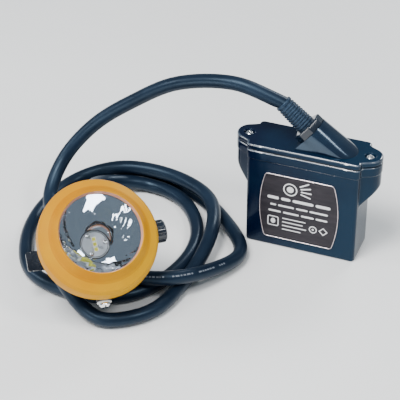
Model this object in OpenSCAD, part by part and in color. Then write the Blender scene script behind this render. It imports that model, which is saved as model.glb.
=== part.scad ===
// Miner's cap lamp: a belt battery, its cable and the headpiece lying on the coiled cable.
// Frame: origin at the centre of the battery's base, +X along its width, the name plate faces -Y.

/* [Battery box] */
// Width of the box without its screw lugs
battery_w = 72; // [66:1:80]
// Front-to-back depth of the box
battery_d = 28.5; // [27:0.5:32]
// Height from the base to the top of the lid
battery_h = 72.5; // [71:0.5:80]
// Wall thickness of the box
wall = 2.2; // [1.8:0.1:2.6]
// Thickness of the lid
lid_t = 3.4; // [3.2:0.1:4.5]
// Corner radius of the box in plan
corner_r = 2.4; // [2.2:0.2:4]
// Outer radius of each screw lug
lug_r = 8.4; // [7.8:0.2:9]

/* [Name plate] */
// Height of the plate
plate_h = 48; // [40:1:52]
// Width of the plate at its top and bottom edges
plate_w = 44.6; // [36:0.2:48]
// How far each side bulges at mid height
plate_bulge = 3.6; // [1:0.2:5]
// Radius of the name plate's corners, mm
plate_corner = 2.6; // [1.2:0.2:4]
// Thickness of the plate
plate_t = 0.6; // [0.4:0.1:1]

/* [Cable] */
// Outer diameter of the cable
cable_d = 9; // [8.4:0.2:9]
// Rise of the battery's cable outlet above the horizontal, degrees
outlet_rise = 40; // [38:1:42]

/* [Headpiece] */
// Radius of the bezel's skirt
bezel_r = 36; // [35.6:0.1:36.4]
// Radius of the clear opening in front of the lens
opening_r = 24.8; // [24:0.1:25]
// Radius of the round circuit board that carries the lights
led_board_r = 9.8; // [9.4:0.1:10]
// Diameter of the switch knob
knob_d = 14; // [12:0.5:15]
// Lean of the headpiece's axis from the vertical, degrees
head_lean = 38; // [37:1:39]
// Turn of the headpiece about the vertical, degrees
head_turn = 40; // [39:1:41]

/* [Hidden] */
$fn = 64;
eps = 0.05;

// Battery box
gasket_t = 0.8;
rim_z = battery_h - lid_t - gasket_t;
mid_y = 1;
front_y = mid_y - battery_d / 2;
back_y = mid_y + battery_d / 2;
floor_t = 2;
collar_step = 0.4;
collar_z = battery_h - 10.5;
lug_x = battery_w / 2 + 2;
lid_screw_x = battery_w / 2 + 3;
lug_z = battery_h - 21;
lug_taper_z = battery_h - 33;
screw_r = 1.5;
screw_hole_r = 1.7;
screw_head_r = 3;
screw_head_h = 2;
head_recess = 2.3;
insert_r = 2.4;
insert_len = 6;
lip_t = 1.2;
lip_h = 2.6;
fit = 0.25;

// Cells
cell_r = 9.15;
cell_len = 65;
cell_z = 2.6;
cell_pitch = 18.7;
cell_x0 = -22.6;

// Belt loop
loop_gap = 6;
loop_t = 3;
loop_w = 44;
loop_z0 = 8;
loop_z1 = 60;
loop_foot = 7;

// Cable glands, measured from the face of the housing's mouth
nut_r = 10.4;
nut_h = 5.2;
spigot_r = 7.2;
spigot_len = 4;
seal_len = 3.8;
relief_len = 20;
relief_r0 = 5.6;
relief_r1 = 4.95;
relief_ribs = 8;
rib_out = 0.55;
cable_r = cable_d / 2;
cable_bore_r = cable_r + 0.1;
seal_bore_r = 7.4;

// Battery cable outlet
outlet_end = [-18, 0, 98];
outlet_dir = [-cos(outlet_rise), 0, sin(outlet_rise)];
outlet_mouth = outlet_end - (nut_h + relief_len) * outlet_dir;
mouth_r = 9.8;

// Headpiece: its own frame has +Z along the beam and its origin at the centre of the opening
head_pos = [-89, -116, 61];
shell_back = -36;
rear_face = -42;
beam_f4 = 28.2;
beam_vertex = -29.1;
board_z = -26.5;
board_t = 1.6;
sink_z = board_z - board_t;
sink_t = 2.5;
driver_z = -33;
switch_z = -25.4;
shaft_r = 2.5;
knob_in = 36.5;
knob_len = 7;
contact_turn = -95;
hook_turn = -4;
gland_mouth = [8, 22, -45.5];
gland_turn = [-140, 0, -20];
cover_screw_turns = [10, 130, 250];
cover_screw_ring = 18;
cover_r = 30;
cover_face_r = 24.2;
hook_base_t = 2.6;
hook_t = 2.6;
hook_w = 12;
hook_tip = 39;

// Route of the cable's centre line, from the battery's strain relief to the headpiece's
route = [
    [-18, 0, 98], [-50, 0, 105], [-87, 0, 97], [-118, 0, 77],
    [-143, -5, 57], [-159, -18, 36], [-160, -40, 20], [-144, -63, 15.5],
    [-119, -81, 13], [-92, -90, 11.5], [-60, -88, 14.8], [-39, -61, 8.5],
    [-32, -33, 4.6], [-54, -4, 4.6], [-85, 18, 4.6], [-118, 26, 4.6],
    [-143, 0, 4.6], [-147, -35, 4.6], [-138, -76, 5], [-120, -110, 14],
    [-88, -127, 5.2], [-61, -108, 4.6], [-53, -68, 5], [-52, -32, 13.5],
    [-66, 1, 14.2], [-97, 17, 14.2], [-132, 15, 14.4], [-160, 2, 6.5],
    [-169, -32, 4.6], [-163, -70, 4.6], [-144, -100, 4.6], [-109, -109, 4.6],
    [-78, -97, 4.6], [-62, -63, 4.6], [-64, -26, 4.6], [-85, 5, 4.6],
    [-115, 14, 5.2], [-137, -4, 13.4], [-136, -30, 25], [-123, -54, 33]];
route_steps = 2;
cable_sides = 12;
cable_rest_z = cable_r + 0.1;

function unit(v) = v / norm(v);

// Point where the tangent from p meets the circle of radius r about c, on the side away from the box
function tangent_point(p, c, r) =
    let (v = p - c, a = atan2(v[1], v[0]), b = acos(r / norm(v)))
    c + r * [cos(a - b), sin(a - b)];

// Smooth curve through the points p, n steps a span, kept no lower than low
function spline_at(a, b, c, d, t) =
    0.5 * (2 * b + (c - a) * t + (2 * a - 5 * b + 4 * c - d) * t * t
        + (3 * b - a - 3 * c + d) * t * t * t);
function spline(p, n, low) =
    let (q = concat([2 * p[0] - p[1]], p, [2 * p[len(p) - 1] - p[len(p) - 2]]))
    concat([for (i = [1:len(q) - 3]) for (k = [0:n - 1])
        let (s = spline_at(q[i - 1], q[i], q[i + 1], q[i + 2], k / n)) [s[0], s[1], max(s[2], low)]],
        [p[len(p) - 1]]);

// Tube of radius r along the points p, with its ends square to the directions d0 and d1
module tube(p, r, sides, d0, d1) {
    last = len(p) - 1;
    dir = [for (i = [0:last]) i == 0 ? d0 : i == last ? d1 : unit(p[i + 1] - p[i - 1])];
    side0 = unit(cross(d0, [0, 1, 0]));
    side = [for (i = 0, s = side0; i <= last;
        i = i + 1, s = unit(s - (s * dir[min(i, last)]) * dir[min(i, last)])) s];
    ring = [for (i = [0:last]) let (s = unit(side[i] - (side[i] * dir[i]) * dir[i]), c = cross(dir[i], s))
        for (k = [0:sides - 1]) p[i] + r * (cos(360 * k / sides) * s + sin(360 * k / sides) * c)];
    skin = [for (i = [0:last - 1]) for (k = [0:sides - 1])
        let (a = i * sides + k, b = i * sides + (k + 1) % sides)
        each [[a, a + sides, b], [b, a + sides, b + sides]]];
    start_cap = [[for (k = [0:sides - 1]) k]];
    end_cap = [[for (k = [0:sides - 1]) last * sides + sides - 1 - k]];
    polyhedron(ring, concat(skin, start_cap, end_cap), convexity = 10);
}

// Rounded rectangle made of true arcs
module rounded(w, d, r) {
    square([w - 2 * r, d], center = true);
    square([w, d - 2 * r], center = true);
    for (x = [-1, 1], y = [-1, 1])
        translate([x * (w / 2 - r), y * (d / 2 - r)]) circle(r);
}

// Screw lugs in plan, blended into the box's ends
module lugs_plan(grow = 0) {
    r = lug_r + grow;
    root = [battery_w / 2 - 3, battery_d / 2 - 2.5 + grow];
    touch = tangent_point(root, [lug_x, 0], r - eps);
    translate([0, mid_y]) for (s = [0, 1]) mirror([s, 0]) {
        translate([lug_x, 0]) circle(r);
        polygon([root, touch, [touch[0], -touch[1]], [root[0], -root[1]]]);
    }
}

// Outline of the box in plan, grown by grow on every side
module box_plan(grow = 0, r = corner_r) {
    translate([0, mid_y]) rounded(battery_w + 2 * grow, battery_d + 2 * grow, r);
}

module lid_plan(grow = 0) {
    box_plan(grow, corner_r + grow);
    lugs_plan(grow);
}

module at_lugs(z) {
    for (x = [-lid_screw_x, lid_screw_x]) translate([x, 0, z]) children();
}

module battery_case() {
    lug_end = lug_x + lug_r + 1;
    color("midnightblue") difference() {
        union() {
            linear_extrude(rim_z) box_plan();
            translate([0, 0, collar_z]) linear_extrude(rim_z - collar_z)
                box_plan(collar_step, corner_r + collar_step);
            for (s = [0, 1]) mirror([s, 0, 0]) intersection() {
                translate([0, 0, lug_taper_z]) linear_extrude(rim_z - lug_taper_z) lugs_plan();
                translate([0, battery_d, 0]) rotate([90, 0, 0]) linear_extrude(2 * battery_d) polygon([
                    [battery_w / 2 - 4, lug_taper_z], [battery_w / 2, lug_taper_z],
                    [lug_end, lug_z + 1], [lug_end, battery_h], [battery_w / 2 - 4, battery_h]]);
            }
        }
        translate([0, 0, floor_t]) linear_extrude(battery_h) box_plan(-wall, 1.4);
        at_lugs(rim_z - insert_len - 5) cylinder(r = screw_r + fit, h = battery_h);
        at_lugs(rim_z - insert_len) cylinder(r = insert_r, h = battery_h);
        for (z = [loop_z0 + loop_foot / 2, loop_z1 - loop_foot / 2], x = [-loop_w / 2 + 6, loop_w / 2 - 6])
            translate([x, back_y - 1.6, z]) rotate([-90, 0, 0]) cylinder(r = 1.2, h = 5);
    }
}

// Cable outlet on the lid: a slanting barrel with a wedge beneath its mouth, cut square to the barrel
module outlet_body() {
    intersection() {
        union() {
            hull() {
                at_outlet() translate([0, 0, -1]) cylinder(r = mouth_r, h = 1, $fn = 48);
                translate([22, 0, battery_h - 1]) cylinder(r = mouth_r, h = 1.2, $fn = 48);
            }
            hull() {
                at_outlet() translate([0, 0, -1]) cylinder(r = 5.6, h = 2, $fn = 48);
                translate([0, 0, battery_h - 1]) linear_extrude(1)
                    polygon([[-15.5, -7.9], [13, -9.8], [13, 9.8], [-15.5, 7.9]]);
            }
        }
        at_outlet() translate([-60, -40, -60]) cube([120, 80, 60]);
    }
}

module battery_lid() {
    color("midnightblue") difference() {
        union() {
            translate([0, 0, rim_z + gasket_t]) linear_extrude(lid_t) lid_plan(collar_step);
            translate([0, 0, rim_z + gasket_t - lip_h]) linear_extrude(lip_h + eps) difference() {
                box_plan(-wall - fit, 1.3);
                box_plan(-wall - fit - lip_t, 0.6);
            }
            outlet_body();
        }
        at_outlet() {
            translate([0, 0, -24]) cylinder(r = cable_bore_r + 0.2, h = 30);
            translate([0, 0, -spigot_len - seal_len - 0.2]) cylinder(r = seal_bore_r, h = 20);
        }
        translate([14, -5, rim_z]) cube([14, 10, gasket_t + 1.6]);
        at_lugs(0) cylinder(r = screw_hole_r, h = 2 * battery_h);
        at_lugs(battery_h - head_recess) cylinder(r = screw_head_r + 0.3, h = 10);
    }
}

module lid_gasket() {
    color("black") translate([0, 0, rim_z]) linear_extrude(gasket_t) difference() {
        box_plan(-0.3);
        box_plan(-wall, 1.4);
    }
}

// Pan-head screw, head up, shank down from the head's underside
module pan_screw(head_r, head_h, shank_r, shank_len) {
    difference() {
        union() {
            translate([0, 0, -shank_len]) cylinder(r = shank_r, h = shank_len + eps);
            cylinder(r = head_r, h = head_h * 0.55);
            translate([0, 0, head_h * 0.55]) cylinder(r1 = head_r, r2 = head_r * 0.62, h = head_h * 0.45);
        }
        for (a = [0, 90]) rotate(a)
            translate([-head_r * 0.55, -head_r * 0.11, head_h * 0.45])
                cube([head_r * 1.1, head_r * 0.22, head_h]);
    }
}

module lid_screws() {
    color("silver") at_lugs(battery_h - head_recess)
        pan_screw(screw_head_r, screw_head_h, screw_r, 9);
}

module thread_inserts() {
    color("goldenrod") at_lugs(rim_z - insert_len) difference() {
        cylinder(r = insert_r, h = insert_len - 0.2);
        translate([0, 0, -1]) cylinder(r = screw_r + eps, h = insert_len + 2);
    }
}

module belt_loop() {
    back = back_y + loop_gap;
    color("midnightblue") difference() {
        union() {
            translate([-loop_w / 2, back, loop_z0]) cube([loop_w, loop_t, loop_z1 - loop_z0]);
            for (z = [loop_z0, loop_z1 - loop_foot])
                translate([-loop_w / 2, back_y, z]) cube([loop_w, loop_gap + eps, loop_foot]);
        }
        for (z = [loop_z0 + loop_foot / 2, loop_z1 - loop_foot / 2], x = [-loop_w / 2 + 6, loop_w / 2 - 6])
            translate([x, back_y - 1, z]) rotate([-90, 0, 0]) {
                cylinder(r = 1.4, h = 20);
                translate([0, 0, loop_gap + loop_t - 1]) cylinder(r = 2.8, h = 10);
            }
        for (z = [loop_z0 + 16:7:loop_z1 - 15])
            translate([0, back + loop_t, z]) rotate([90, 0, 90])
                cylinder(r = 0.8, h = loop_w - 10, center = true);
    }
}

module belt_loop_screws() {
    head_y = back_y + loop_gap + loop_t - 2;
    color("silver")
    for (z = [loop_z0 + loop_foot / 2, loop_z1 - loop_foot / 2], x = [-loop_w / 2 + 6, loop_w / 2 - 6])
        translate([x, head_y, z]) rotate([-90, 0, 0]) pan_screw(2.6, 1.8, 1.15, loop_gap + loop_t - 0.6);
}

// Barrel-sided plate outline, flat at the top and bottom
module plate_outline(grow = 0) {
    half_h = plate_h / 2;
    side_r = (half_h * half_h + plate_bulge * plate_bulge) / (2 * plate_bulge);
    side_x = plate_w / 2 + plate_bulge - side_r;
    offset(r = plate_corner + grow) offset(delta = -plate_corner) intersection() {
        square([2 * (plate_w + plate_bulge), 2 * half_h], center = true);
        translate([side_x, 0]) circle(side_r, $fn = 200);
        translate([-side_x, 0]) circle(side_r, $fn = 200);
    }
}

module on_front(depth) {
    translate([-1, front_y - depth, 30.5]) rotate([90, 0, 0]) children();
}

module name_plate() {
    color("dimgray") on_front(0) linear_extrude(plate_t) plate_outline(-1);
}

module plate_border() {
    color("silver") on_front(0) linear_extrude(plate_t + 0.3) difference() {
        plate_outline();
        plate_outline(-1 + eps);
    }
}

module at_cells() {
    for (i = [0:2]) translate([cell_x0 + i * cell_pitch, mid_y, cell_z]) children();
}

module cells() {
    color("mediumseagreen") at_cells() {
        cylinder(r = cell_r, h = cell_len - 1.2);
        translate([0, 0, cell_len - 1.2]) cylinder(r = cell_r - 4.6, h = 1.2);
    }
}

module cell_holders() {
    color("white") for (z = [12, 52]) difference() {
        translate([0, 0, z]) linear_extrude(3) box_plan(-wall - fit, 1.3);
        at_cells() cylinder(r = cell_r + 0.1, h = cell_len);
        translate([26.6, mid_y - 9.5, 0]) cube([6, 19, battery_h]);
    }
}

module nickel_strips() {
    strip_len = 2 * cell_pitch + 9;
    color("lightgray") for (z = [cell_z - 0.3, cell_z + cell_len])
        translate([cell_x0 - 4.5, mid_y - 4, z]) cube([strip_len, 8, 0.3]);
}

module protection_board() {
    color("green") {
        translate([27.4, -9, 22]) cube([1.2, 18, 30]);
        for (z = [26, 33]) translate([28.6, -5, z]) cube([1.6, 4, 5]);
        translate([28.6, 2, 28]) cube([1.8, 5, 6]);
        for (y = [-6, 0, 6]) translate([28.6, y - 1, 44]) cube([1.2, 2, 4]);
    }
}

module lead_wires() {
    fan = outlet_mouth - 16.1 * outlet_dir;
    color("crimson") for (y = [-2, 2]) {
        path = [fan + [0, y, 0], [18.2, y, 69.6], [22.6, 1.2 * y, 69], [26.4, 1.4 * y, 67.4],
            [29.2, 1.5 * y, 62.6], [29.4, 1.5 * y, 57], [28, 1.5 * y, 52]];
        tube(spline(path, 3, 0), 0.75, 8, -outlet_dir, [0, 0, -1]);
    }
}

// Union nut that closes a cable gland, on the mouth's face, with a spigot that presses the seal
module gland_nut_shape() {
    difference() {
        union() {
            cylinder(r = nut_r, h = nut_h, $fn = 8);
            translate([0, 0, -spigot_len]) cylinder(r = spigot_r, h = spigot_len + eps);
        }
        translate([0, 0, -10]) cylinder(r = cable_bore_r, h = 30);
        difference() {
            translate([0, 0, nut_h - 1.2]) cylinder(r = nut_r + 2, h = 3);
            translate([0, 0, nut_h - 1.2]) cylinder(r1 = nut_r, r2 = nut_r - 1.8, h = 1.21);
        }
    }
}

// Tapered rubber sleeve with raised ribs and a collar at its free end
module strain_relief_shape() {
    pitch = (relief_len - 3) / relief_ribs;
    function body_r(z) = relief_r0 + (relief_r1 - relief_r0) * z / relief_len;
    ribs = [for (i = [0:relief_ribs - 1]) let (z = 1 + i * pitch)
        each [[body_r(z), z], [body_r(z) + rib_out, z + 0.3], [body_r(z) + rib_out, z + pitch - 0.9],
            [body_r(z + pitch), z + pitch - 0.6]]];
    outline = concat([[cable_bore_r, 0], [relief_r0, 0]], ribs,
        [[relief_r1, relief_len - 1.6], [relief_r1 + rib_out, relief_len - 1.3],
        [relief_r1 + rib_out, relief_len - 0.3], [relief_r1 + 0.2, relief_len], [cable_bore_r, relief_len]]);
    translate([0, 0, nut_h]) rotate_extrude() polygon(outline);
}

module gland_seal_shape() {
    translate([0, 0, -spigot_len - seal_len]) difference() {
        cylinder(r = seal_bore_r - eps, h = seal_len - 0.1);
        translate([0, 0, -1]) cylinder(r = cable_bore_r, h = seal_len + 2);
    }
}

module at_outlet() {
    translate(outlet_mouth) rotate([0, outlet_rise - 90, 0]) children();
}

module gland_seal() {
    color("black") at_outlet() gland_seal_shape();
}

module gland_nut() {
    color("black") at_outlet() gland_nut_shape();
}

module strain_relief() {
    color("darkslategray") at_outlet() strain_relief_shape();
}

module cable_tail() {
    color("darkslategray") at_outlet()
        translate([0, 0, -16]) cylinder(r = cable_r, h = 16 + nut_h + relief_len);
}

// Rotates head-frame children into the place where the headpiece lies
module head_frame() {
    translate(head_pos) rotate([head_lean, 0, head_turn]) children();
}

module at_head_gland() {
    head_frame() translate(gland_mouth) rotate(gland_turn) children();
}

// The gland's direction in the part's frame, from its three turns
function turn_x(v, a) = [v[0], v[1] * cos(a) - v[2] * sin(a), v[1] * sin(a) + v[2] * cos(a)];
function turn_z(v, a) = [v[0] * cos(a) - v[1] * sin(a), v[0] * sin(a) + v[1] * cos(a), v[2]];
function gland_dir() = turn_z(turn_x(turn_z(turn_x([0, 0, 1], gland_turn[0]), gland_turn[2]),
    head_lean), head_turn);
function gland_end() = head_pos + turn_z(turn_x(gland_mouth, head_lean), head_turn)
    + (nut_h + relief_len) * gland_dir();

module cable() {
    path = concat([for (i = [0:len(route) - 2]) route[i]], [gland_end()]);
    color("darkslategray")
        tube(spline(path, route_steps, cable_rest_z), cable_r, cable_sides, outlet_dir, -gland_dir());
}

module head_cable_tail() {
    color("darkslategray") at_head_gland()
        translate([0, 0, -9]) cylinder(r = cable_r, h = 9 + nut_h + relief_len);
}

module head_strain_relief() {
    color("darkslategray") at_head_gland() strain_relief_shape();
}

module head_gland_nut() {
    color("black") at_head_gland() gland_nut_shape();
}

module head_gland_seal() {
    color("black") at_head_gland() gland_seal_shape();
}

module around(turns, ring_r, z) {
    for (a = turns) rotate(a) translate([ring_r, 0, z]) children();
}

module rear_cover() {
    color([0.1, 0.1, 0.12]) head_frame() difference() {
        union() {
            rotate_extrude() polygon([[0, rear_face], [cover_face_r - 0.6, rear_face],
                [cover_face_r, rear_face + 0.3], [cover_r, rear_face + 4], [cover_r, shell_back - gasket_t],
                [cover_r - 2, shell_back - gasket_t], [cover_r - 2, rear_face + 4.6],
                [cover_face_r - 1.4, rear_face + 2.2], [0, rear_face + 2.2]]);
            around(cover_screw_turns, cover_screw_ring, rear_face + 1) cylinder(r = 3.1, h = 4);
            intersection() {
                translate(gland_mouth) rotate(gland_turn) translate([0, 0, -16])
                    cylinder(r = mouth_r, h = 16);
                translate([-40, -40, rear_face - 20]) cube([80, 80, 20 + 4.6]);
                cylinder(r = cover_r - 0.6, h = 120, center = true);
            }
            translate(gland_mouth) rotate(gland_turn) translate([0, 0, -3]) cylinder(r = mouth_r, h = 3);
        }
        translate(gland_mouth) rotate(gland_turn) {
            translate([0, 0, -20]) cylinder(r = cable_bore_r, h = 30);
            translate([0, 0, -spigot_len - seal_len - 0.2]) cylinder(r = seal_bore_r, h = 20);
        }
        around(cover_screw_turns, cover_screw_ring, rear_face - 1) {
            cylinder(r = 1.5, h = 20);
            cylinder(r = 2.7, h = 2.6);
        }
        rotate(hook_turn) for (x = [-4, 4]) translate([x - 6, 0, rear_face - 1]) cylinder(r = 1.1, h = 10);
    }
}

module rear_cover_screws() {
    color("silver") head_frame() around(cover_screw_turns, cover_screw_ring, rear_face + 1.6)
        rotate([180, 0, 0]) pan_screw(2.5, 1.5, 0.85, 8);
}

module rear_gasket() {
    color("black") head_frame() translate([0, 0, shell_back - gasket_t]) difference() {
        cylinder(r = cover_r - 0.2, h = gasket_t);
        translate([0, 0, -1]) cylinder(r = cover_r - 1.8, h = 3);
    }
}

module head_shell() {
    color([0.1, 0.1, 0.12]) head_frame() difference() {
        union() {
            rotate_extrude() polygon([[27.7, -7.4], [29.6, -7.4], [29.6, -10.8], [33.2, -11.4], [33.2, -19.7],
                [35.2, -19.9], [35.2, -21.4], [32.4, -23.2], [31.4, -26], [cover_r + 0.4, shell_back],
                [28.2, shell_back], [29.4, -30.8],
                [29.4, -12], [27.7, -9.8], [26.3, -9.8], [26.3, -8.3], [27.7, -8.3]]);
            translate([30, 0, switch_z]) rotate([0, 90, 0]) cylinder(r = 5.4, h = knob_in - 0.3 - 30);
            rotate(contact_turn) translate([30, 0, switch_z]) rotate([0, 90, 0]) cylinder(r = 4.8, h = 5.4);
            translate([0, 0, sink_z - sink_t - 1.2]) difference() {
                cylinder(r = 30, h = 1.1);
                translate([0, 0, -1]) cylinder(r = 27.4, h = 4);
            }
        }
        translate([20, 0, switch_z]) rotate([0, 90, 0]) cylinder(r = shaft_r + eps, h = 30);
        translate([32, 0, switch_z]) rotate([0, 90, 0]) cylinder(r = shaft_r + 1.3, h = 2);
        rotate(contact_turn) translate([20, 0, switch_z]) rotate([0, 90, 0]) cylinder(r = 2.8, h = 30);
    }
}

module bezel_ring() {
    outline = [[opening_r, 0], [opening_r + 0.5, -0.1], [28.9, -4.5], [29.8, -5.5], [33, -7.6],
        [bezel_r - 0.8, -9.6], [bezel_r - 0.2, -10.4], [bezel_r, -11.4], [bezel_r, -19.6], [33.5, -19.6],
        [33.5, -11], [29.9, -10.4], [29.9, -7], [27.9, -7], [27.9, -5.4], [25.8, -5.4], [25.8, -2.6],
        [opening_r - 0.6, -2.6]];
    color("orange") head_frame() rotate_extrude($fn = 96) polygon(outline);
}

module lens() {
    color([0.9, 0.95, 1, 0.35]) head_frame() translate([0, 0, -5.3]) cylinder(r = 25.6, h = 2.6);
}

module lens_gasket() {
    color("black") head_frame() translate([0, 0, -6.9]) difference() {
        cylinder(r = 27.6, h = 1.5);
        translate([0, 0, -1]) cylinder(r = 25.1, h = 4);
    }
}

module reflector() {
    levels = [-7, -9, -11, -13, -15, -17, -19, -21, -23, -25, -26.3];
    function mirror_r(z) = sqrt(beam_f4 * (z - beam_vertex));
    inner = [for (z = levels) [mirror_r(z), z]];
    outer = [for (i = [len(levels) - 1:-1:1]) [mirror_r(levels[i]) + 1.15, levels[i]]];
    color("gainsboro") head_frame() rotate_extrude($fn = 72)
        polygon(concat(inner, outer, [[mirror_r(-8.2) + 1, -8.2], [27.5, -8.2], [27.5, -7]]));
}

module led_board() {
    color("whitesmoke") head_frame() difference() {
        translate([0, 0, board_z - board_t]) cylinder(r = led_board_r, h = board_t);
        around([0, 120, 240], 6.3, board_z - 3) cylinder(r = 0.95, h = 5);
    }
}

module leds() {
    color("gold") head_frame() for (y = [-3.2, 0, 3.2]) translate([0, y, board_z]) {
        translate([-1.3, -1.3, 0]) cube([2.6, 2.6, 0.7]);
        translate([0, 0, 0.7]) cylinder(r1 = 1.1, r2 = 0.6, h = 0.6);
    }
}

module led_board_screws() {
    color("silver") head_frame() around([0, 120, 240], 6.3, board_z)
        pan_screw(1.3, 0.9, 0.8, 3.2);
}

module heat_sink() {
    color("lightsteelblue") head_frame() difference() {
        union() {
            translate([0, 0, sink_z - sink_t]) cylinder(r = 29.2, h = sink_t);
            for (a = [30:60:330]) rotate(a) translate([12, -0.6, sink_z - eps]) cube([3, 1.2, 2]);
        }
        around([0, 120, 240], 6.3, sink_z - sink_t - 1) cylinder(r = 0.85, h = 5);
        rotate(100) translate([22, 0, sink_z - sink_t - 1]) cylinder(r = 2.5, h = 5);
        translate([20.8, -4.8, sink_z - sink_t - 1]) cube([12, 9.6, 9]);
        rotate(contact_turn) translate([24, -3.6, sink_z - sink_t - 1]) cube([9, 7.2, 9]);
    }
}

module board_standoffs() {
    top = sink_z - sink_t;
    color("goldenrod") head_frame() around(cover_screw_turns, cover_screw_ring, driver_z) difference() {
        cylinder(r = 2, h = top - driver_z);
        translate([0, 0, -1]) cylinder(r = 0.9, h = 10);
    }
}

module driver_board() {
    color("green") head_frame() {
        difference() {
            translate([0, 0, driver_z - 1.4]) cylinder(r = 22.6, h = 1.4);
            around(cover_screw_turns, cover_screw_ring, driver_z - 3) cylinder(r = 1.1, h = 5);
            translate(gland_mouth) rotate(gland_turn) translate([0, 0, -40]) cylinder(r = 9, h = 50);
        }
        translate([-12, -4, driver_z - 4]) cube([7, 7, 2.6]);
        translate([-1, -14, driver_z - 3.2]) cube([5, 6, 1.8]);
        translate([11, -6, driver_z - 4.2]) cylinder(r = 3, h = 2.8);
        for (i = [0:3]) translate([-17 + 3 * i, 6, driver_z - 2.6]) cube([1.2, 2, 1.3]);
    }
}

module switch_contacts() {
    color("sienna") head_frame() {
        translate([15.2, -4, sink_z]) cube([4.8, 8, 4.4]);
        for (y = [-3.4, 2.6]) translate([20 - eps, y, sink_z + 0.6]) cube([1, 0.8, 3.4]);
    }
}

module shaft_seal() {
    color("black") head_frame() translate([32.1, 0, switch_z]) rotate([0, 90, 0]) difference() {
        cylinder(r = shaft_r + 1.25, h = 1.8);
        translate([0, 0, -1]) cylinder(r = shaft_r + eps, h = 4);
    }
}

module switch_shaft() {
    color("silver") head_frame() translate([21.4, 0, switch_z]) rotate([0, 90, 0]) {
        cylinder(r = shaft_r, h = knob_in + 4 - 21.4);
        difference() {
            translate([0, 0, 3.2]) cylinder(r = shaft_r + 1.4, h = 1.6);
            translate([shaft_r - 2, -9, 2]) mirror([1, 0, 0]) cube([9, 3, 4]);
        }
    }
}

module switch_knob() {
    flutes = 12;
    flute_r = 1.1;
    color([0.08, 0.09, 0.14]) head_frame() translate([knob_in, 0, switch_z]) rotate([0, 90, 0])
    difference() {
        union() {
            cylinder(r = knob_d / 2, h = knob_len - 1);
            translate([0, 0, knob_len - 1]) cylinder(r1 = knob_d / 2, r2 = knob_d / 2 - 1.2, h = 1);
        }
        for (a = [0:360 / flutes:359]) rotate(a)
            translate([knob_d / 2 + 0.5, 0, 1.2]) cylinder(r = flute_r, h = knob_len, $fn = 20);
        translate([0, 0, -1]) cylinder(r = shaft_r, h = 5);
        translate([0, 0, 3]) cylinder(r = 1, h = 10);
        translate([0, 0, knob_len - 1.8]) cylinder(r = 2.6, h = 5);
    }
}

module knob_screw() {
    color("silver") head_frame() translate([knob_in + knob_len - 1.8, 0, switch_z]) rotate([0, 90, 0])
        pan_screw(2.2, 1.4, 0.95, 1.1);
}

module at_contact() {
    head_frame() rotate(contact_turn) translate([0, 0, switch_z]) rotate([0, 90, 0]) children();
}

module contact_bush() {
    color("white") at_contact() difference() {
        union() {
            translate([0, 0, 27.4]) cylinder(r = 2.7, h = 8.2);
            translate([0, 0, 35.5]) cylinder(r = 4.4, h = 0.9);
        }
        translate([0, 0, 20]) cylinder(r = 1.6, h = 20);
    }
}

module charge_contact() {
    color("gainsboro") at_contact() {
        translate([0, 0, 25]) cylinder(r = 1.5, h = 11.5);
        translate([0, 0, 36.4]) difference() {
            union() {
                cylinder(r = 3.5, h = 1.6);
                translate([0, 0, 1.6]) cylinder(r1 = 3.5, r2 = 2.1, h = 1.2);
            }
            translate([-5, -0.4, 2]) cube([10, 0.8, 3]);
        }
    }
}

module cap_hook() {
    tongue_z = rear_face - hook_base_t - hook_t;
    color([0.12, 0.12, 0.14]) head_frame() rotate(hook_turn) difference() {
        union() {
            translate([-18, -hook_w / 2, rear_face - hook_base_t]) cube([26, hook_w, hook_base_t]);
            translate([-hook_tip + 3, -hook_w / 2, tongue_z]) cube([hook_tip - 3 + 8, hook_w, hook_t + eps]);
            translate([-hook_tip, -hook_w / 2 + 1.5, tongue_z]) cube([4, hook_w - 3, hook_t]);
            for (y = [-hook_w / 2 + 1.5, hook_w / 2 - 1.5])
                translate([-hook_tip + 1.5, y, tongue_z]) cylinder(r = 1.5, h = hook_t);
        }
        for (i = [0:4]) translate([-hook_tip + 4 + 2.2 * i, -hook_w, tongue_z - eps])
            cube([1.1, 2 * hook_w, 0.7]);
        for (x = [-4, 4]) translate([x - 6, 0, tongue_z - 1]) {
            cylinder(r = 1.3, h = 20);
            cylinder(r = 2.4, h = 2.2);
        }
    }
}

module hook_screws() {
    color("silver") head_frame() rotate(hook_turn) for (x = [-4, 4])
        translate([x - 6, 0, rear_face - hook_base_t - hook_t + 1.2]) rotate([180, 0, 0])
            pan_screw(2.2, 1.1, 1.05, 6);
}

battery_case();
battery_lid();
lid_gasket();
lid_screws();
thread_inserts();
belt_loop();
belt_loop_screws();
name_plate();
plate_border();
cells();
cell_holders();
nickel_strips();
protection_board();
lead_wires();
gland_seal();
gland_nut();
strain_relief();
cable_tail();
cable();
head_cable_tail();
head_strain_relief();
head_gland_nut();
head_gland_seal();
rear_cover();
rear_cover_screws();
rear_gasket();
head_shell();
bezel_ring();
lens();
lens_gasket();
reflector();
led_board();
leds();
led_board_screws();
heat_sink();
board_standoffs();
driver_board();
switch_contacts();
shaft_seal();
switch_shaft();
switch_knob();
knob_screw();
contact_bush();
charge_contact();
cap_hook();
hook_screws();
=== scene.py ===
import math
import random

import bmesh
import bpy
import numpy as np
from mathutils import Matrix, Vector


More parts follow.
